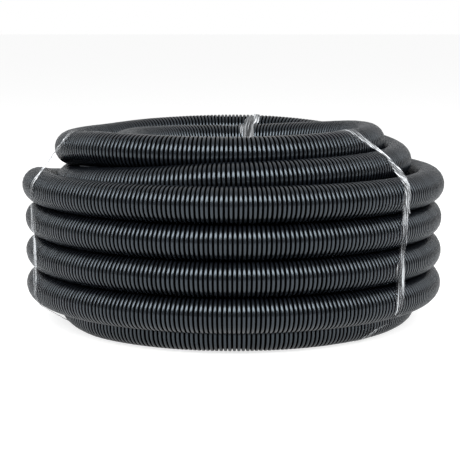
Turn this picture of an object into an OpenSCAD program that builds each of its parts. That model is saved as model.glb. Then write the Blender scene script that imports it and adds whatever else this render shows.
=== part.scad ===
// A tied coil of corrugated conduit: one long conduit, wound in three nested layers with three
// looser turns on top, held by three bands of clear film. The turns are solid and smooth here.
// +Z is up, the coil's axis is Z, the front faces -Y, and the bands' underside is on z = 0.

/* [Conduit] */
// Outside diameter of the conduit
conduit_od = 32; // [16:1:50]
// How deep the ribs of two touching turns sink into each other
rib_mesh = 0.35; // [0.1:0.05:1]

/* [Coil] */
// Radius of the outer turns, to the conduit's centre line
coil_r = 185; // [170:1:260]
// Number of outer turns that lie one on another
outer_turns = 4; // [3:1:6]
// How much wider the topmost outer turn is than those below it, in radius
high_swell = 2.5; // [0:0.5:4]
// How far the foot turn leans in under the lowest outer turn, from straight down
foot_lean = 49; // [30:1:60]
// How far the shoulder turn leans in over the topmost outer turn, from straight up
shoulder_lean = 65; // [40:1:70]
// Slope of the shoulder turn, which climbs to the right
shoulder_slope = 3.4; // [0:0.2:4]
// Pitch of the shoulder turn, which climbs to the front
shoulder_pitch = 1.6; // [0:0.2:2]
// How far the top turn leans in over the front of the shoulder turn, from straight up
top_lean = 49; // [30:1:60]
// Slope of the top turn, which climbs to the right
top_slope = 1.2; // [0:0.2:2]
// How deep the top turn is pressed into the front of the shoulder turn
top_sink = 1.2; // [1:0.1:2]
// How far the top turn lies to the left of the axis
top_shift_x = 13; // [0:1:16]
// How far the top turn lies behind the axis
top_shift_y = 11; // [0:1:16]
// How far the end turn lies inside the top turn, in radius
end_tuck = 34; // [32:0.5:36]
// How far the end turn stands over the inner turns at the axis, in turns
end_rise = 1.36; // [1.2:0.02:1.4]
// Slope of the end turn, which climbs to the left
end_slope = 7; // [5:0.2:7.4]
// Pitch of the end turn, which climbs to the back
end_pitch = 4.6; // [3:0.2:5]
// How far the end turn lies behind the axis
end_shift_y = 4; // [0:1:6]

/* [Film bands] */
// Width of a band
band_w = 15; // [8:1:30]
// Thickness of a band
band_t = 0.5; // [0.3:0.1:1.5]
// Clearance between a band and the turns
band_gap = 0.3; // [0.2:0.1:0.8]

/* [Hidden] */
$fn = 96;

// Directions in which the bands stand, from +X towards +Y
left_dir = 192;
right_dir = 320;
back_dir = 84;

// Directions between which the end turn is wound, and the one in which it leaves the top turn
end_from = 72;
end_to = 335;
end_leaves = 28;
end_clear = 1.5;   // more room round the end turn, whose steep tilt makes its section an oval
end_sink = 0.4;   // how much thinner the conduit is where it drops from the top turn to the end turn

conduit_r = conduit_od / 2;
turn_step = conduit_od - rib_mesh;   // between the centre lines of two touching turns

// Radius and height of each turn, to its centre line
foot_z = band_t + band_gap + conduit_r;
foot_r = coil_r - turn_step * sin(foot_lean);
low_z = foot_z + turn_step * cos(foot_lean);
outer_z = [for (i = [0:outer_turns - 1]) low_z + i * turn_step];
high_z = outer_z[outer_turns - 1];
high_r = coil_r + high_swell;
middle_r = coil_r - turn_step * cos(30);
middle_z = [for (i = [0:outer_turns - 2]) outer_z[i] + turn_step / 2];
inner_r = middle_r - turn_step;
inner_z = [for (i = [0:outer_turns - 1]) foot_z + i * turn_step];
rim_z = inner_z[outer_turns - 1];
shoulder_r = high_r - turn_step * sin(shoulder_lean);
shoulder_z = high_z + turn_step * cos(shoulder_lean);
top_step = turn_step - top_sink;
top_r = shoulder_r - top_step * sin(top_lean) + top_shift_y;
top_z = shoulder_z + shoulder_r * tan(shoulder_pitch) + top_step * cos(top_lean);
end_r = top_r - end_tuck;
end_z = rim_z + end_rise * turn_step;

// Distance from the axis at which the radial plane in direction a cuts a turn of radius r whose
// centre lies left and back of the axis
function cut_r(r, left, back, a) =
    back * sin(a) - left * cos(a) + sqrt(r * r - pow(left * sin(a) + back * cos(a), 2));

// How far that cut moves in or out across half a band
function drift(r, left, back, a) = abs(back * cos(a) + left * sin(a)) / r * band_w / 2;

// Height in direction a of a turn of radius r that slopes up to the right and pitches up to the front
function tilted_z(r, z, slope, pitch, a) = z + r * (cos(a) * tan(slope) - sin(a) * tan(pitch));

// One turn's round section in the half plane of the coil's section
module turn(r, z, grow = 0) {
    translate([r, z]) circle(conduit_r + grow);
}

// A turn that lies by itself on the others
module ring(r) {
    rotate_extrude() turn(r, 0);
}

module conduit() color("#26272b") {
    rotate_extrude() {
        turn(foot_r, foot_z);
        for (i = [0:outer_turns - 2]) turn(coil_r, outer_z[i]);
        turn(high_r, high_z);
        for (z = middle_z) turn(middle_r, z);
        for (z = inner_z) turn(inner_r, z);
        polygon([[inner_r, foot_z], [foot_r, foot_z], [coil_r, low_z], [high_r, high_z], [inner_r, rim_z]]);
    }
    translate([0, 0, shoulder_z]) rotate([-shoulder_pitch, -shoulder_slope, 0]) ring(shoulder_r);
    on_top() ring(top_r);
    on_end() rotate([0, 0, end_from]) rotate_extrude(angle = end_to - end_from) turn(end_r, 0);
    hull() {
        on_top() slice(top_r, end_leaves);
        on_end() slice(end_r, end_from + 5);
    }
}

// Where the top turn lies
module on_top() {
    translate([-top_shift_x, top_shift_y, top_z]) rotate([0, -top_slope, 0]) children();
}

// Where the end turn lies
module on_end() {
    translate([0, end_shift_y, end_z]) rotate([end_pitch, end_slope, 0]) children();
}

// A thin slice across a turn of radius r in direction a
module slice(r, a) {
    rotate([0, 0, a]) translate([r, 0, 0]) rotate([90, 0, 0]) cylinder(h = 1, r = conduit_r - end_sink, $fn = 48);
}

// What film pulled tight round the turns in direction a encloses, with its face clear by grow
module tight_round(a, grow) {
    hull() {
        turn(inner_r, foot_z, grow);
        turn(foot_r, foot_z, grow);
        turn(coil_r, low_z, grow);
        turn(high_r, high_z, grow);
        turn(
            shoulder_r,
            tilted_z(shoulder_r, shoulder_z, shoulder_slope, shoulder_pitch, a),
            grow + band_gap
        );
        turn(
            cut_r(top_r, top_shift_x, top_shift_y, a),
            tilted_z(top_r, top_z, top_slope, 0, a),
            grow + band_gap + drift(top_r, top_shift_x, top_shift_y, a)
        );
        turn(
            cut_r(end_r, 0, end_shift_y, a),
            tilted_z(end_r, end_z, -end_slope, -end_pitch, a),
            grow + end_clear
        );
    }
}

// A band of film round the section in direction a
module band(a) color([0.88, 0.91, 0.94, 0.5]) {
    band_angle = band_w / coil_r * 180 / PI;
    rotate([0, 0, a - band_angle / 2]) rotate_extrude(angle = band_angle) difference() {
        tight_round(a, band_gap + band_t);
        tight_round(a, band_gap);
    }
}

module band_left() band(left_dir);
module band_right() band(right_dir);
module band_back() band(back_dir);

conduit();
band_left();
band_right();
band_back();
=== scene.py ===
"""A tied coil of corrugated conduit, its film bands and a plain pale studio.

Every length is in metres. The coil's axis is +Z, its front faces -Y, and a turn is counted from
the back, going round by the left, the front and the right.
"""

import math

import bpy
import numpy as np
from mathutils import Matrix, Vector
from bpy.props import FloatProperty, FloatVectorProperty, IntProperty, PointerProperty
from bpy.types import Operator, Panel, PropertyGroup


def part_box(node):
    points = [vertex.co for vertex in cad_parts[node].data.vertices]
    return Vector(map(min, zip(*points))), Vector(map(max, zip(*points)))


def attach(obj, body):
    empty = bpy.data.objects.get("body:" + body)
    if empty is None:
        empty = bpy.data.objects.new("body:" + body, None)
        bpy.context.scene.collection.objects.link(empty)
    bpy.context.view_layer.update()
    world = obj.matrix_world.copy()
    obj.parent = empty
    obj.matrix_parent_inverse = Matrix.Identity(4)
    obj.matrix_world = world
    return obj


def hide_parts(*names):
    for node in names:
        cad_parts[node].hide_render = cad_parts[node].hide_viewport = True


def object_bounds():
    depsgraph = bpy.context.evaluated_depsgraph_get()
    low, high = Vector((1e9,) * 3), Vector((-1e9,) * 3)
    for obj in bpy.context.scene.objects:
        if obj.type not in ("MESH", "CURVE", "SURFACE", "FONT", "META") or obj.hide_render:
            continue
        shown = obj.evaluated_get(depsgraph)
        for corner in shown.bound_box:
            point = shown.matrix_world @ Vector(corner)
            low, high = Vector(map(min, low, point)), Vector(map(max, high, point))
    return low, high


bl_info = {
    "name": "Corrugated Conduit Coil",
    "version": (1, 0, 0),
    "blender": (4, 5, 0),
    "location": "3D View > Sidebar > Conduit Coil",
    "description": "A tied coil of corrugated conduit with its film bands and a plain studio",
    "category": "Add Mesh",
}

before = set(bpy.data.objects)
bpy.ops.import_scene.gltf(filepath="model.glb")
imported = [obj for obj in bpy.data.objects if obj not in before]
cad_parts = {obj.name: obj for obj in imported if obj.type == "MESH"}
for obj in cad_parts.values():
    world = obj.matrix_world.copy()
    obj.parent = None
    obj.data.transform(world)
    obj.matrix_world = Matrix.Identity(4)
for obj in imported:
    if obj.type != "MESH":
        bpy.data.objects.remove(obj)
CAD_LOW, CAD_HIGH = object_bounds()
CONDUIT_LOW, CONDUIT_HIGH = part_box("conduit")

# Each band's direction from +X towards +Y, and where it shifts, narrows and folds on its way
# round: share of the way from underneath by the outside, shift to the right as seen from outside,
# half width and height of the folds, in millimetres. A tail is the film's loose end: the shares
# between which it lies, and how far its end stands off.
BANDS = {
    "band_left": (200.0, [
        (0.00, 2, 6.0, 0.4), (0.08, -8, 5.0, 0.5), (0.17, -17, 4.0, 0.6), (0.30, -18, 5.5, 0.5),
        (0.38, -17, 4.0, 0.8), (0.42, -13, 3.0, 0.9), (0.47, -6, 3.2, 0.9), (0.51, 3, 5.0, 0.6),
        (0.60, 14, 6.5, 0.5), (0.66, 15, 5.0, 0.6), (0.80, 13, 6.0, 0.4), (0.95, 8, 6.5, 0.4),
    ], (0.42, 0.58, 0.6)),
    "band_right": (320.0, [
        (0.00, 20, 6.0, 0.4), (0.04, 18, 4.5, 0.6), (0.08, 6, 3.2, 0.8), (0.11, 10, 5.0, 0.6),
        (0.20, 10, 5.5, 0.5), (0.26, 7, 4.0, 0.8), (0.30, 5, 5.0, 0.9), (0.34, 0, 6.5, 0.7),
        (0.38, -8, 4.5, 0.8), (0.42, -14, 3.0, 1.0), (0.46, -8, 5.0, 0.7), (0.50, -1, 7.0, 0.4),
        (0.55, 1, 7.0, 0.4), (0.65, 5, 5.0, 0.6), (0.90, 13, 6.0, 0.4),
    ], (0.285, 0.40, 2.2)),
    "band_back": (84.0, [
        (0.00, 4, 6.0, 0.4), (0.15, 0, 5.0, 0.6), (0.35, 2, 6.0, 0.5), (0.47, 8, 5.5, 0.6),
        (0.54, 8, 7.0, 0.4), (0.59, 3, 7.0, 0.4), (0.63, 5, 4.0, 0.9), (0.80, 2, 6.0, 0.5),
    ], (0.48, 0.63, 1.0)),
}

# Strength of the white backdrop's light on the coil, share of it that the room in front of the
# coil has in reflections, and strength of the floor's glow to the rays that the camera sees
WORLD_LIGHT = 0.6
ROOM_LIGHT = 0.35
FLOOR_GLOW = 0.75

EYE = (-0.0034, -1.372, 0.286)
TARGET = (-0.0034, 0.0, 0.084)
LENS = 111.0

INNER_TURNS = 4
MIDDLE_TURNS = 3
OUTER_TURNS = 4

# How much one rib differs from the next, as slopes and metres
RIB_LEAN = 0.004
RIB_SWELL = 0.00003


# ---------------------------------------------------------------- sizes and colours


class ConduitSizes(PropertyGroup):
    """What a user would change about the conduit and how it is wound."""

    outside: FloatProperty(
        name="Outside diameter", description="Over the ribs' crests",
        default=0.032, min=0.016, max=0.05, unit="LENGTH", precision=4)
    rib_pitch: FloatProperty(
        name="Rib pitch", description="From one rib to the next",
        default=0.0038, min=0.002, max=0.008, unit="LENGTH", precision=4)
    rib_depth: FloatProperty(
        name="Rib depth", description="From a rib's crest to the groove's floor",
        default=0.0023, min=0.001, max=0.004, unit="LENGTH", precision=4)
    wall: FloatProperty(
        name="Wall", description="Thickness of the plastic at a cut end",
        default=0.0009, min=0.0004, max=0.002, unit="LENGTH", precision=4)
    rib_mesh: FloatProperty(
        name="Rib mesh", description="How deep the ribs of two touching turns sink into each other",
        default=0.00035, min=0.0, max=0.001, unit="LENGTH", precision=5)
    coil_reach: FloatProperty(
        name="Coil reach", description="From the coil's axis to the outermost crest",
        default=(CONDUIT_HIGH.x - CONDUIT_LOW.x) / 2, min=0.15, max=0.3, unit="LENGTH")
    lift: FloatProperty(
        name="Lift", description="From the floor to the lowest crests, which lie on the film",
        default=CONDUIT_LOW.z, min=0.0002, max=0.003, unit="LENGTH", precision=4)
    sides: IntProperty(
        name="Sides", description="Facets round the conduit", default=24, min=12, max=48)


class FilmSizes(PropertyGroup):
    """What a user would change about the film bands."""

    thickness: FloatProperty(
        name="Thickness", description="Thickness of one lap",
        default=0.00008, min=0.00004, max=0.0005, unit="LENGTH", precision=5)
    gap: FloatProperty(
        name="Gap", description="Between the ribs' crests and the first lap, and between two laps",
        default=0.00012, min=0.00005, max=0.0005, unit="LENGTH", precision=5)
    laps: IntProperty(name="Laps", description="Laps of film in a band", default=2, min=1, max=3)
    fold_scale: FloatProperty(
        name="Folds", description="Height of the folds against the usual", default=1.0, min=0.0, max=2.0)


class CoilColours(PropertyGroup):
    """Colours of the plastic, the film and the floor."""

    plastic: FloatVectorProperty(
        name="Plastic", description="Black of the conduit", subtype="COLOR",
        size=3, min=0, max=1, default=(0.0040, 0.0048, 0.0066))
    # The film's pale colour also shows as its painted highlights
    film: FloatVectorProperty(
        name="Film", description="Tint of the clear film", subtype="COLOR",
        size=3, min=0, max=1, default=(0.86, 0.89, 0.92))
    floor: FloatVectorProperty(
        name="Floor", description="Pale floor", subtype="COLOR",
        size=3, min=0, max=1, default=(0.5, 0.5, 0.5))


# ---------------------------------------------------------------- surfaces


def new_piece(name, points, faces, material, nodes, groove=None, flat=None, smooth_angle=80):
    """Makes a mesh from arrays of points and quads, and ties it to the frame.

    groove is how deep each point lies in a groove, 0 to 1, and flat is its place on the
    unrolled surface in metres, where the material needs one of them.
    """
    mesh = bpy.data.meshes.new(name)
    mesh.vertices.add(len(points))
    mesh.vertices.foreach_set("co", points.astype(np.float32).ravel())
    mesh.loops.add(faces.size)
    mesh.loops.foreach_set("vertex_index", faces.astype(np.int32).ravel())
    mesh.polygons.add(len(faces))
    mesh.polygons.foreach_set("loop_start", np.arange(len(faces), dtype=np.int32) * 4)
    mesh.polygons.foreach_set("use_smooth", np.ones(len(faces), bool))
    mesh.update(calc_edges=True)
    mesh.validate()
    mesh.set_sharp_from_angle(angle=math.radians(smooth_angle))
    if groove is not None:
        depth = mesh.attributes.new("groove", "FLOAT", "POINT")
        depth.data.foreach_set("value", groove.astype(np.float32))
    if flat is not None:
        layer = mesh.uv_layers.new(name="unrolled")
        layer.data.foreach_set("uv", flat[faces.ravel()].astype(np.float32).ravel())
    mesh.materials.append(material)
    piece = bpy.data.objects.new(name, mesh)
    bpy.context.scene.collection.objects.link(piece)
    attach(piece, "root")
    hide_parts(*nodes)
    return piece


def tube_faces(rings, sides):
    """Quads between neighbouring rings of points, and a disc of quads over each end.

    Side j of ring i joins side j + 1 and ring i + 1, round and round. A disc is cut across in
    strips, each from the points j and j + 1 on one half of the ring to their mirrored points.
    """
    i = np.arange(rings - 1)[:, None] * sides
    j = np.arange(sides)[None, :]
    k = (j + 1) % sides
    walls = np.stack([i + j, i + sides + j, i + sides + k, i + k], axis=-1).reshape(-1, 4)
    low = np.arange(sides // 2 - 1)
    high = sides - 1 - low
    disc = np.stack([low, low + 1, high - 1, high], axis=-1)
    return np.concatenate([walls, disc, disc[:, ::-1] + (rings - 1) * sides])


# ---------------------------------------------------------------- the winding


def turn_stations(size):
    """Turns wound so far, distance from the axis and height, at the stations of the winding.

    The inner, middle, foot and outer turns are level rings, and between two of them the conduit
    crosses over: at the front right in the inner layer, and at the back left in the others, where
    the layers give each other a little room. The loose turns on top have stations of their own.
    """
    step = size.outside - size.rib_mesh
    foot = size.lift + size.outside / 2
    swell = 0.0025
    room = 0.0023
    outer = size.coil_reach - size.outside / 2 - swell
    bulge = outer + 0.8 * room
    middle = outer - step * math.cos(math.radians(30))
    inner = middle - step
    lean = math.radians(49)
    foot_r = outer - step * math.sin(lean)
    low = foot + step * math.cos(lean)
    top = low + (OUTER_TURNS - 1) * step
    cross = 0.15
    stations = [(0.82, inner, foot)]
    for k in range(INNER_TURNS):
        height = foot + k * step
        if k:
            stations += [(k + 0.50, inner, height - step), (k + 0.84, inner, height)]
        stations += [(k + 1.08, inner - room, height), (k + 1.20, inner - room, height)]
        if k < INNER_TURNS - 1:
            stations += [(k + 1.30, inner, height)]
    n = INNER_TURNS
    stations += [
        (n + 0.25, inner, low + 2.34 * step),
        (n + 0.30, inner + 0.0060, low + 2.35 * step),
        (n + 0.35, inner + 0.0130, low + 2.36 * step),
        (n + 0.40, inner + 0.0195, low + 2.41 * step),
        (n + 0.45, inner + 0.0265, low + 2.47 * step),
        (n + 0.52, middle, low + 2.50 * step),
    ]
    n += cross
    for k in range(MIDDLE_TURNS):
        height = low + (MIDDLE_TURNS - k - 0.5) * step
        if k:
            stations += [(n + k + 0.065, middle - room, height + step / 4), (n + k + 0.13, middle, height)]
        stations += [(n + k + 0.87, middle, height), (n + k + 0.935, middle - room, height - step / 4)]
    n += MIDDLE_TURNS
    stations += [
        (n + 0.00, middle - 0.0034, foot + 0.0206),
        (n + 0.06, middle - 0.0044, foot + 0.0130),
        (n + 0.13, middle - 0.0021, foot + 0.0047),
        (n + 0.23, foot_r, foot),
        (n + 0.87, foot_r, foot),
        (n + 0.94, foot_r + 0.0090, foot + 0.0002),
        (n + 1.00, outer - 0.0010, foot + 0.0050),
        (n + 1.06, outer, low - 0.0082),
    ]
    n += 1
    for k in range(OUTER_TURNS):
        height = low + k * step
        if k:
            stations += [
                (n + k - 0.065, bulge, height - 0.75 * step),
                (n + k + 0.065, bulge, height - 0.25 * step),
            ]
        if k < OUTER_TURNS - 1:
            stations += [(n + k + 0.13, outer, height), (n + k + 0.87, outer, height)]
    n += OUTER_TURNS - 1 - cross
    stations += [
        (n + cross + 0.13, outer + swell, top),
        (n + cross + 0.20, outer + swell, top),
        (n + 0.50, outer + 0.6 * swell, top),
        (n + 0.75, outer + 0.8 * swell, top),
        (n + 0.87, outer + 0.8 * swell, top + 0.0010),
        (n + 1.00, outer - 0.0140, top + 0.0125),
        (n + 1.05, outer - 0.0185, top + 0.0122),
        (n + 1.14, outer - 0.0278, top + 0.0035),
        (n + 1.25, outer - 0.0295, top + 0.0020),
        (n + 1.40, outer - 0.0295, top + 0.0100),
        (n + 1.50, outer - 0.0295, top + 0.0175),
        (n + 1.75, outer - 0.0295, top + 0.0225),
        (n + 2.00, outer - 0.0330, top + 0.0385),
        (n + 2.09, outer - 0.0325, top + 0.0365),
        (n + 2.17, outer - 0.0310, top + 0.0335),
        (n + 2.25, outer - 0.0285, top + 0.0335),
        (n + 2.36, outer - 0.0380, top + 0.0385),
        (n + 2.50, outer - 0.0540, top + 0.0375),
        (n + 2.75, outer - 0.0552, top + 0.0405),
        (n + 2.80, outer - 0.0578, top + 0.0398),
        (n + 2.87, outer - 0.0630, top + 0.0360),
        (n + 3.00, outer - 0.0660, top + 0.0300),
        (n + 3.25, outer - 0.0800, top + 0.0330),
        (n + 3.50, outer - 0.0750, top + 0.0110),
        (n + 3.68, outer - 0.0730, top + 0.0080),
    ]
    return np.array(stations)


def smooth_track(at, stations, values):
    """Values at the places in at, on a smooth curve through the stations.

    Between two stations it is the cubic that has the stations' values and slopes. A slope is
    the harmonic mean of the slopes on its two sides, and zero where those disagree in sign.
    """
    run = np.diff(stations)
    rise = np.diff(values) / run
    both = rise[1:] * rise[:-1] > 0
    inside = np.zeros(len(rise) - 1)
    inside[both] = 2 * rise[1:][both] * rise[:-1][both] / (rise[1:][both] + rise[:-1][both])
    slope = np.concatenate([[0.0], inside, [0.0]])
    k = np.clip(np.searchsorted(stations, at, side="right") - 1, 0, len(run) - 1)
    t = (at - stations[k]) / run[k]
    first = (1 + 2 * t) * (1 - t) ** 2 * values[k] + t * (1 - t) ** 2 * run[k] * slope[k]
    second = t * t * (3 - 2 * t) * values[k + 1] - t * t * (1 - t) * run[k] * slope[k + 1]
    return first + second


class Winding:
    """The conduit's centre line, sampled closely enough to be read by interpolation."""

    def __init__(self, size):
        self.stations = turn_stations(size)
        self.first = self.stations[0, 0]
        self.last = self.stations[-1, 0]
        samples = 12000
        self.turns = np.linspace(self.first, self.last, samples)
        radius, height = self.section(self.turns)
        angle = math.pi / 2 + 2 * math.pi * self.turns
        self.line = np.stack([radius * np.cos(angle), radius * np.sin(angle), height], axis=-1)
        steps = np.linalg.norm(np.diff(self.line, axis=0), axis=1)
        self.along = np.concatenate([[0.0], np.cumsum(steps)])
        self.length = float(self.along[-1])

    def section(self, turns):
        """Distance from the axis and height after that many turns."""
        at = self.stations[:, 0]
        return smooth_track(turns, at, self.stations[:, 1]), smooth_track(turns, at, self.stations[:, 2])

    def length_at(self, turns):
        """Length of conduit wound after that many turns."""
        return float(np.interp(turns, self.turns, self.along))

    def point(self, along):
        """Points of the centre line at these lengths from its start."""
        return np.stack([np.interp(along, self.along, self.line[:, c]) for c in range(3)], axis=-1)

    def axes(self, along):
        """Outward, upward and forward unit vectors of the conduit at these lengths."""
        reach = 0.004
        ahead = self.point(np.minimum(along + reach, self.length))
        behind = self.point(np.maximum(along - reach, 0))
        forward = ahead - behind
        forward /= np.linalg.norm(forward, axis=1, keepdims=True)
        outward = np.cross(forward, [0.0, 0.0, 1.0])
        outward /= np.linalg.norm(outward, axis=1, keepdims=True)
        return outward, np.cross(outward, forward), forward


# ---------------------------------------------------------------- the conduit


def rib_profile(size):
    """Places within one pitch, and how far the surface lies under the crest at each."""
    share = np.array([0.00, 0.11, 0.23, 0.36, 0.75, 0.88])
    under = np.array([1.0, 1.0, 0.26, 0.02, 0.02, 0.26]) * size.rib_depth
    return share, under


def ribbed_stretch(size, first, last, seed):
    """Places, radii and slopes of the rings over the ribs from number first to number last.

    The radius follows the rib profile. Each rib leans outward and upward and swells by a tiny
    amount of its own, as moulded ribs do.
    """
    share, under = rib_profile(size)
    ribs = np.arange(first, last)
    rng = np.random.default_rng(seed)
    lean = rng.normal(0.0, RIB_LEAN, (2, len(ribs)))
    swell = rng.normal(0.0, RIB_SWELL, len(ribs))
    along = ((ribs[:, None] + share[None, :]) * size.rib_pitch).ravel()
    radius = (size.outside / 2 - under[None, :] + swell[:, None]).ravel()
    tilt_out = np.repeat(lean[0], len(share))
    tilt_up = np.repeat(lean[1], len(share))
    end = last * size.rib_pitch
    along = np.append(along, end)
    radius = np.append(radius, size.outside / 2 - size.rib_depth)
    return along, radius, np.append(tilt_out, 0.0), np.append(tilt_up, 0.0)


def rings_to_points(winding, along, radius, tilt_out, tilt_up, sides):
    """Rings of the given radii round the centre line, leaning by the given slopes.

    A ring is a circle in the plane across the conduit: its centre line's point, plus the
    radius times the cosine of the angle outward and its sine upward, and forward by the same
    two distances times the slopes.
    """
    outward, upward, forward = winding.axes(along)
    angle = (np.arange(sides) + 0.5) / sides * 2 * math.pi
    across = radius[:, None] * np.cos(angle)
    above = radius[:, None] * np.sin(angle)
    ahead = across * tilt_out[:, None] + above * tilt_up[:, None]
    points = winding.point(along)[:, None, :] + across[..., None] * outward[:, None, :]
    points += above[..., None] * upward[:, None, :] + ahead[..., None] * forward[:, None, :]
    return points.reshape(-1, 3)


def bore_rings(size, end, inward):
    """Rings that turn in over a cut end and run back along the corrugated bore."""
    share, under = rib_profile(size)
    count = 8
    along = (np.arange(count)[:, None] + share[None, :]).ravel() * size.rib_pitch
    radius = np.tile(size.outside / 2 - under - size.wall, count)
    return end + inward * along, radius


def make_stretch(winding, size, name, start, stop, material, sides, seed):
    """One closed piece of the conduit between two counts of turns, cut at a groove."""
    first = math.ceil(winding.length_at(start) / size.rib_pitch)
    whole = math.floor if stop >= winding.last else math.ceil
    last = whole(winding.length_at(stop) / size.rib_pitch)
    along, radius, out, up = ribbed_stretch(size, first, last, seed)
    if start <= winding.first:
        more, bore = bore_rings(size, along[0], 1)
        along, radius = np.append(more[::-1], along), np.append(bore[::-1], radius)
        out, up = (np.append(np.zeros(len(more)), v) for v in (out, up))
    if stop >= winding.last:
        more, bore = bore_rings(size, along[-1], -1)
        along, radius = np.append(along, more), np.append(radius, bore)
        out, up = (np.append(v, np.zeros(len(more))) for v in (out, up))
    points = rings_to_points(winding, along, radius, out, up, sides)
    # How deep each point lies in a groove, from which the plastic paints shade into the grooves
    groove = np.repeat(np.clip((size.outside / 2 - radius) / size.rib_depth, 0, 1), sides)
    faces = tube_faces(len(along), sides)
    return new_piece(name, points, faces, material, ["conduit"], groove)


def make_hidden_stretch(winding, size, name, start, stop, material):
    """The turns that others hide all round: a smooth closed tube just under the ribs' crests."""
    rings, sides, under = 240, 16, 0.0002
    along = np.linspace(winding.length_at(start), winding.length_at(stop), rings)
    zero = np.zeros(rings)
    points = rings_to_points(winding, along, zero + size.outside / 2 - under, zero, zero, sides)
    groove = np.zeros(len(points))
    faces = tube_faces(rings, sides)
    return new_piece(name, points, faces, material, ["conduit"], groove)


# ---------------------------------------------------------------- the film


def tight_outline(winding, size, direction, grow, count):
    """The outline of film pulled tight round the turns, in the half plane of this direction.

    For each outward direction, from straight down by the outside and the top to straight down
    again, it passes the far side of the turn that reaches furthest that way. Returns distance
    from the axis, height and outward angle at equal steps, and the length all the way round.
    """
    share = (direction / 360 - 0.25) % 1
    turns = np.arange(math.ceil(winding.first - share), winding.last - share) + share
    radius, height = winding.section(turns)
    directions = 7201
    angle = np.linspace(-0.5 * math.pi, 1.5 * math.pi, directions)
    furthest = (np.outer(np.cos(angle), radius) + np.outer(np.sin(angle), height)).argmax(axis=1)
    reach = size.outside / 2 + grow
    across = radius[furthest] + reach * np.cos(angle)
    above = height[furthest] + reach * np.sin(angle)
    along = np.concatenate([[0.0], np.cumsum(np.hypot(np.diff(across), np.diff(above)))])
    at = np.arange(count) / count * along[-1]
    return [np.interp(at, along, v) for v in (across, above, angle)], along[-1]


def round_track(at, places, column):
    """One column of a band's places, smooth all the way round."""
    table = np.array(places)
    turns = np.concatenate([table[:, 0] - 1, table[:, 0], table[:, 0] + 1])
    return smooth_track(at, turns, np.tile(table[:, column], 3))


def wander(rng, at, waves):
    """A smooth random value, about -1 to 1, that meets itself after a round."""
    turn = 2 * math.pi * np.outer(at, np.arange(1, waves + 1))
    weight = rng.normal(size=(2, waves)) / math.sqrt(waves)
    return np.cos(turn) @ weight[0] + np.sin(turn) @ weight[1]


def lap_faces(rows, columns, closed):
    """Quads of a lap of film: its outer face, its inner face, its edges and any cut ends.

    The points run row by row along the lap, the outer face's columns first and then the
    inner face's the other way, so that each row is a ring that joins the next one.
    """
    ring = 2 * columns
    i = np.arange(rows if closed else rows - 1)[:, None]
    after = (i + 1) % rows * ring
    j = np.arange(ring)[None, :]
    k = (j + 1) % ring
    walls = np.stack(np.broadcast_arrays(i * ring + j, after + j, after + k, i * ring + k), axis=-1)
    if closed:
        return walls.reshape(-1, 4)
    low = np.arange(columns - 1)
    end = np.stack([low, low + 1, ring - 2 - low, ring - 1 - low], axis=-1)
    return np.concatenate([walls.reshape(-1, 4), end, end[:, ::-1] + (rows - 1) * ring])


def film_lap(winding, size, film, band, lap, rng):
    """Points, quads and unrolled places of one lap of wrinkled film, or of the film's tail.

    The film follows the tight outline. Across it, a wide and a fine set of folds that wander
    sideways lift it off the turns, each by one plus the cosine of its place times a share of
    the folds' height, so never inward. Its edges wander too, and its middle moves sideways with
    the band's shift. A tail flares and lifts more and more towards its end.
    """
    direction, places, (tail_end, tail_start, stand_off) = band
    rows, columns = 560, 13
    tail = lap == film.laps
    flare = 0.030
    lap_apart = 0.7
    over_floor = 0.0002
    under_top = 0.0003
    grow = film.gap + lap * (film.gap + film.thickness)
    outline, length = tight_outline(winding, size, direction, grow, rows)
    at = np.arange(rows) / rows
    shift, half, fold = (round_track(at, places, c) * 0.001 for c in (1, 2, 3))
    shift = shift + half * 0.30 * wander(rng, at, 9) * (lap > 0)
    half = half * (1 - 0.18 * lap) * (1 + 0.20 * wander(rng, at, 15))
    v = np.linspace(-1, 1, columns)[None, :]
    wide = np.cos(math.pi * (1.6 * v + 1.2 * wander(rng, at, 8)[:, None]))
    fine = np.cos(math.pi * (3.7 * v + 1.5 * wander(rng, at, 12)[:, None]))
    lift = film.fold_scale * fold[:, None] * (0.30 * (1 + wide) + 0.20 * (1 + fine))
    kept = slice(0, rows)
    if tail:
        kept = slice(round(tail_end * rows), round(tail_start * rows))
        loose = np.clip((tail_end + flare - at) / flare, 0, 1)
        half = half * (1.3 + 0.7 * loose)
        lift = lift + stand_off * 0.001 * loose[:, None] ** 2 * (0.7 + 0.3 * wide)
    across, above, angle = (value[kept, None] for value in outline)
    aside = (shift[:, None] + half[:, None] * v)[kept]
    layers = []
    for thick in (film.thickness, 0.0):
        rise = lift[kept] + thick
        out = across + rise * np.cos(angle)
        up = above + rise * np.sin(angle)
        turn = math.radians(direction) - aside / across
        up = np.clip(up, over_floor + thick, CAD_HIGH.z - under_top + thick)
        layers.append(np.stack([out * np.cos(turn), out * np.sin(turn), up], axis=-1))
    points = np.concatenate([layers[0], layers[1][:, ::-1]], axis=1)
    along = np.broadcast_to((at * length)[kept, None] + lap_apart * lap, aside.shape)
    flat = np.stack([along, aside], axis=-1)
    flat = np.concatenate([flat, flat[:, ::-1]], axis=1)
    return points.reshape(-1, 3), lap_faces(len(points), columns, not tail), flat.reshape(-1, 2)


def make_band(winding, size, film, name, material, seed):
    """One band of film: its laps and its tail, joined into one piece."""
    rng = np.random.default_rng(seed)
    laps = [film_lap(winding, size, film, BANDS[name], k, rng) for k in range(film.laps + 1)]
    first = np.cumsum([0] + [len(lap[0]) for lap in laps])
    points, flat = (np.concatenate([lap[c] for lap in laps]) for c in (0, 2))
    faces = np.concatenate([lap[1] + start for lap, start in zip(laps, first)])
    return new_piece(name, points, faces, material, [name], flat=flat)


# ---------------------------------------------------------------- materials


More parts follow.
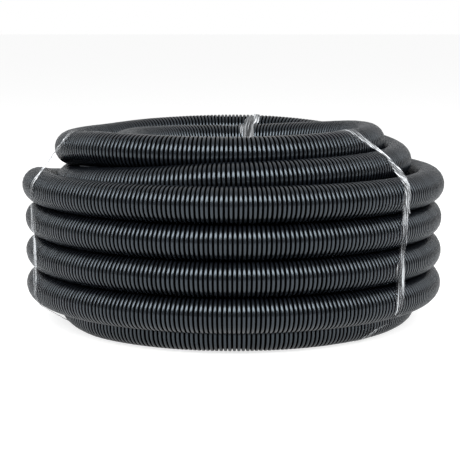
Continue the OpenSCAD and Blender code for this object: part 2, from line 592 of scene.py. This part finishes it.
def node_material(name):
    """An empty node material with its Principled shader and output."""
    material = bpy.data.materials.new(name)
    material.use_nodes = True
    tree = material.node_tree
    tree.nodes.clear()
    shader = tree.nodes.new("ShaderNodeBsdfPrincipled")
    output = tree.nodes.new("ShaderNodeOutputMaterial")
    tree.links.new(shader.outputs["BSDF"], output.inputs["Surface"])
    return material, tree, shader


def noise(tree, scale, detail=3.0, stretch=(1, 1, 1), layer=None):
    """Noise on object coordinates or on a UV layer, stretched along the axes."""
    place = tree.nodes.new("ShaderNodeUVMap" if layer else "ShaderNodeTexCoord")
    if layer:
        place.uv_map = layer
    mapping = tree.nodes.new("ShaderNodeMapping")
    mapping.inputs["Scale"].default_value = stretch
    texture = tree.nodes.new("ShaderNodeTexNoise")
    texture.inputs["Scale"].default_value = scale
    texture.inputs["Detail"].default_value = detail
    tree.links.new(place.outputs["UV" if layer else "Object"], mapping.inputs["Vector"])
    tree.links.new(mapping.outputs["Vector"], texture.inputs["Vector"])
    return texture.outputs["Fac"]


def ranged(tree, value, low, high, start=0.3, end=0.7):
    """Maps a texture's value from start..end to low..high."""
    node = tree.nodes.new("ShaderNodeMapRange")
    node.inputs["From Min"].default_value = start
    node.inputs["From Max"].default_value = end
    node.inputs["To Min"].default_value = low
    node.inputs["To Max"].default_value = high
    tree.links.new(value, node.inputs["Value"])
    return node.outputs["Result"]


def merged(tree, operation, first, second):
    """Two values put together by a Math node."""
    node = tree.nodes.new("ShaderNodeMath")
    node.operation = operation
    tree.links.new(first, node.inputs[0])
    tree.links.new(second, node.inputs[1])
    return node.outputs["Value"]


def black_plastic(colours):
    """Satin black plastic with uneven gloss and a fine grain. Painted shade turns the grooves near black
    and takes their gloss away, and dims the gloss edge on, where the ribs would shade one another.
    """
    material, tree, shader = node_material("black_plastic")
    shader.inputs["IOR"].default_value = 1.5
    low = [c * 0.8 for c in colours.plastic]
    high = [c * 1.3 for c in colours.plastic]
    ramp = tree.nodes.new("ShaderNodeValToRGB")
    ramp.color_ramp.elements[0].position = 0.35
    ramp.color_ramp.elements[0].color = (*low, 1)
    ramp.color_ramp.elements[1].position = 0.65
    ramp.color_ramp.elements[1].color = (*high, 1)
    tree.links.new(noise(tree, 60), ramp.inputs["Fac"])
    # Painted shade: from just under the crests into the grooves, the colour goes to near black and the
    # gloss to nothing, standing in for the shade that falls between the ribs
    groove = tree.nodes.new("ShaderNodeAttribute")
    groove.attribute_name = "groove"
    shade = tree.nodes.new("ShaderNodeMix")
    shade.data_type = "RGBA"
    factor, first, second = (shade.inputs[k] for k in (0, 6, 7))
    second.default_value = (0.0008, 0.0008, 0.0008, 1)
    tree.links.new(ranged(tree, groove.outputs["Fac"], 0, 1, 0.02, 0.22), factor)
    tree.links.new(ramp.outputs["Color"], first)
    tree.links.new(shade.outputs[2], shader.inputs["Base Color"])
    gloss = ranged(tree, groove.outputs["Fac"], 0.62, 0.0, 0.02, 0.24)
    # Painted shade: the gloss is dimmed where the surface is seen edge on, standing in for the ribs hiding
    # and shading one another there
    weight = tree.nodes.new("ShaderNodeLayerWeight")
    edge_on = ranged(tree, weight.outputs["Facing"], 1.0, 0.22, 0.35, 0.9)
    tree.links.new(merged(tree, "MULTIPLY", gloss, edge_on), shader.inputs["Specular IOR Level"])
    shader.inputs["Specular Tint"].default_value = (0.76, 0.89, 1.0, 1)
    tree.links.new(ranged(tree, noise(tree, 120, 2), 0.20, 0.28), shader.inputs["Roughness"])
    bump = tree.nodes.new("ShaderNodeBump")
    bump.inputs["Strength"].default_value = 0.08
    bump.inputs["Distance"].default_value = 0.0001
    tree.links.new(noise(tree, 1500, 2), bump.inputs["Height"])
    tree.links.new(bump.outputs["Normal"], shader.inputs["Normal"])
    return material


def clear_film(colours):
    """Clear wrinkled film: glossy, with a faint haze, and white streaks along it that are painted
    highlights of its folds.
    """
    material, tree, shader = node_material("clear_film")
    shader.inputs["Base Color"].default_value = (*colours.film, 1)
    shader.inputs["IOR"].default_value = 1.5
    # Painted highlights: where the streak noise is high the film turns opaque in its own pale colour, in
    # white lines that run along it
    streaks = noise(tree, 1.0, 1.0, (16, 420, 1), "unrolled")
    patches = noise(tree, 1.0, 1.0, (20, 45, 1), "unrolled")
    painted_highlights = ranged(tree, streaks, 0.03, 0.80, 0.54, 0.69)
    haze = ranged(tree, patches, 0.08, 1.0, 0.42, 0.60)
    tree.links.new(merged(tree, "MULTIPLY", painted_highlights, haze), shader.inputs["Alpha"])
    tree.links.new(ranged(tree, patches, 0.10, 0.28), shader.inputs["Roughness"])
    return material


def seen_rays(tree):
    """One for rays that the camera sees straight, in a reflection or through film, else zero."""
    rays = tree.nodes.new("ShaderNodeLightPath")
    seen = rays.outputs["Is Camera Ray"]
    for kind in ("Is Glossy Ray", "Is Transmission Ray"):
        seen = merged(tree, "MAXIMUM", seen, rays.outputs[kind])
    return seen


def floor_material(colours):
    """Matt floor that looks white to the camera where it is lit, and keeps its shadows."""
    material, tree, shader = node_material("floor")
    shader.inputs["Base Color"].default_value = (*colours.floor, 1)
    shader.inputs["Roughness"].default_value = 0.9
    shader.inputs["Specular IOR Level"].default_value = 0.0
    shader.inputs["Emission Color"].default_value = (1, 1, 1, 1)
    tree.links.new(ranged(tree, seen_rays(tree), 0.0, FLOOR_GLOW, 0, 1), shader.inputs["Emission Strength"])
    return material


# ---------------------------------------------------------------- the studio


def make_floor(scene):
    """A wide square floor."""
    half = 30.0
    mesh = bpy.data.meshes.new("floor")
    corners = [(-half, -half, 0), (half, -half, 0), (half, half, 0), (-half, half, 0)]
    mesh.from_pydata(corners, [], [(0, 1, 2, 3)])
    mesh.materials.append(floor_material(scene.coil_colours))
    floor = bpy.data.objects.new("floor", mesh)
    scene.collection.objects.link(floor)


def make_world(scene):
    """A white backdrop, dimmer on the coil itself, and in reflections of the room in front."""
    scene.world = bpy.data.worlds.new("studio")
    scene.world.use_nodes = True
    tree = scene.world.node_tree
    tree.nodes.clear()
    way = tree.nodes.new("ShaderNodeTexCoord")
    split = tree.nodes.new("ShaderNodeSeparateXYZ")
    tree.links.new(way.outputs["Generated"], split.inputs["Vector"])
    rays = tree.nodes.new("ShaderNodeLightPath")
    room = ranged(tree, split.outputs["Y"], ROOM_LIGHT, 1.0, -0.3, 0.3)
    white = merged(tree, "MAXIMUM", rays.outputs["Is Camera Ray"], room)
    light = ranged(tree, seen_rays(tree), WORLD_LIGHT, 1.0, 0, 1)
    background = tree.nodes.new("ShaderNodeBackground")
    background.inputs["Color"].default_value = (1, 1, 1, 1)
    tree.links.new(merged(tree, "MULTIPLY", light, white), background.inputs["Strength"])
    output = tree.nodes.new("ShaderNodeOutputWorld")
    tree.links.new(background.outputs["Background"], output.inputs["Surface"])


def aim(thing, eye, target):
    """Puts a lamp or the camera at eye, with its view towards target and its top up."""
    thing.location = eye
    thing.rotation_euler = (Vector(target) - Vector(eye)).to_track_quat("-Z", "Y").to_euler()


def make_lamp(name, eye, target, width, height, power):
    """A rectangular soft lamp."""
    light = bpy.data.lights.new(name, "AREA")
    light.shape = "RECTANGLE"
    light.size = width
    light.size_y = height
    light.energy = power
    holder = bpy.data.objects.new(name, light)
    bpy.context.scene.collection.objects.link(holder)
    aim(holder, eye, target)


def make_camera(scene):
    """The camera, a little above the coil and in front of it."""
    camera = bpy.data.cameras.new("camera")
    camera.lens = LENS
    holder = bpy.data.objects.new("camera", camera)
    scene.collection.objects.link(holder)
    aim(holder, EYE, TARGET)
    scene.camera = holder


# ---------------------------------------------------------------- operators


class CONDUIT_OT_turns(Operator):
    """Make the wound conduit, turn by turn, from its inner end to its outer one"""

    bl_idname = "conduit.turns"
    bl_label = "Conduit turns"

    def execute(self, context):
        size = context.scene.conduit_sizes
        winding = Winding(size)
        plastic = black_plastic(context.scene.coil_colours)
        start = INNER_TURNS + 0.30
        make_stretch(winding, size, "conduit_inner_turns", winding.first, start, plastic, 20, 1)
        stop = INNER_TURNS + MIDDLE_TURNS - 0.13
        make_hidden_stretch(winding, size, "conduit_middle_turns", start, stop, plastic)
        names = ["conduit_foot_turn"]
        names += [f"conduit_outer_turn_{k + 1}" for k in range(OUTER_TURNS)]
        names += ["conduit_shoulder_turn", "conduit_top_turn", "conduit_end_turn"]
        for k, name in enumerate(names):
            start, stop = stop, min(INNER_TURNS + MIDDLE_TURNS + k + 1.0, winding.last)
            if name == names[-1]:
                stop = winding.last
            make_stretch(winding, size, name, start, stop, plastic, size.sides, k + 2)
        print(f"conduit length {winding.length:.2f} m")
        return {"FINISHED"}


class CONDUIT_OT_bands(Operator):
    """Make the three bands of clear film that tie the coil"""

    bl_idname = "conduit.bands"
    bl_label = "Film bands"

    def execute(self, context):
        scene = context.scene
        winding = Winding(scene.conduit_sizes)
        material = clear_film(scene.coil_colours)
        for k, name in enumerate(BANDS):
            make_band(winding, scene.conduit_sizes, scene.film_sizes, name, material, 40 + k)
        return {"FINISHED"}


class CONDUIT_OT_stage(Operator):
    """Make the floor, the lamps, the world and the camera"""

    bl_idname = "conduit.stage"
    bl_label = "Studio"

    def execute(self, context):
        make_floor(context.scene)
        make_world(context.scene)
        make_lamp("key", (0.0, -1.15, 1.25), (0, 0, 0.08), 4.8, 0.80, 112)
        make_camera(context.scene)
        context.scene.view_settings.view_transform = "Standard"
        return {"FINISHED"}


class CONDUIT_PT_panel(Panel):
    """Makes the coil's pieces and the studio, and shows their sizes and colours"""

    bl_label = "Conduit Coil"
    bl_idname = "CONDUIT_PT_panel"
    bl_space_type = "VIEW_3D"
    bl_region_type = "UI"
    bl_category = "Conduit Coil"

    def draw(self, context):
        for operator in OPERATORS:
            self.layout.operator(operator.bl_idname)
        for name, group in GROUPS.items():
            for entry in group.__annotations__:
                self.layout.prop(getattr(context.scene, name), entry)


OPERATORS = (CONDUIT_OT_turns, CONDUIT_OT_bands, CONDUIT_OT_stage)
CLASSES = (ConduitSizes, FilmSizes, CoilColours, *OPERATORS, CONDUIT_PT_panel)
GROUPS = {"conduit_sizes": ConduitSizes, "film_sizes": FilmSizes, "coil_colours": CoilColours}


def register():
    for cls in CLASSES:
        bpy.utils.register_class(cls)
    for name, group in GROUPS.items():
        setattr(bpy.types.Scene, name, PointerProperty(type=group))


def unregister():
    for name in GROUPS:
        delattr(bpy.types.Scene, name)
    for cls in reversed(CLASSES):
        bpy.utils.unregister_class(cls)


def main():
    register()
    bpy.ops.conduit.turns()
    bpy.ops.conduit.bands()
    bpy.ops.conduit.stage()


if __name__ == "__main__":
    main()
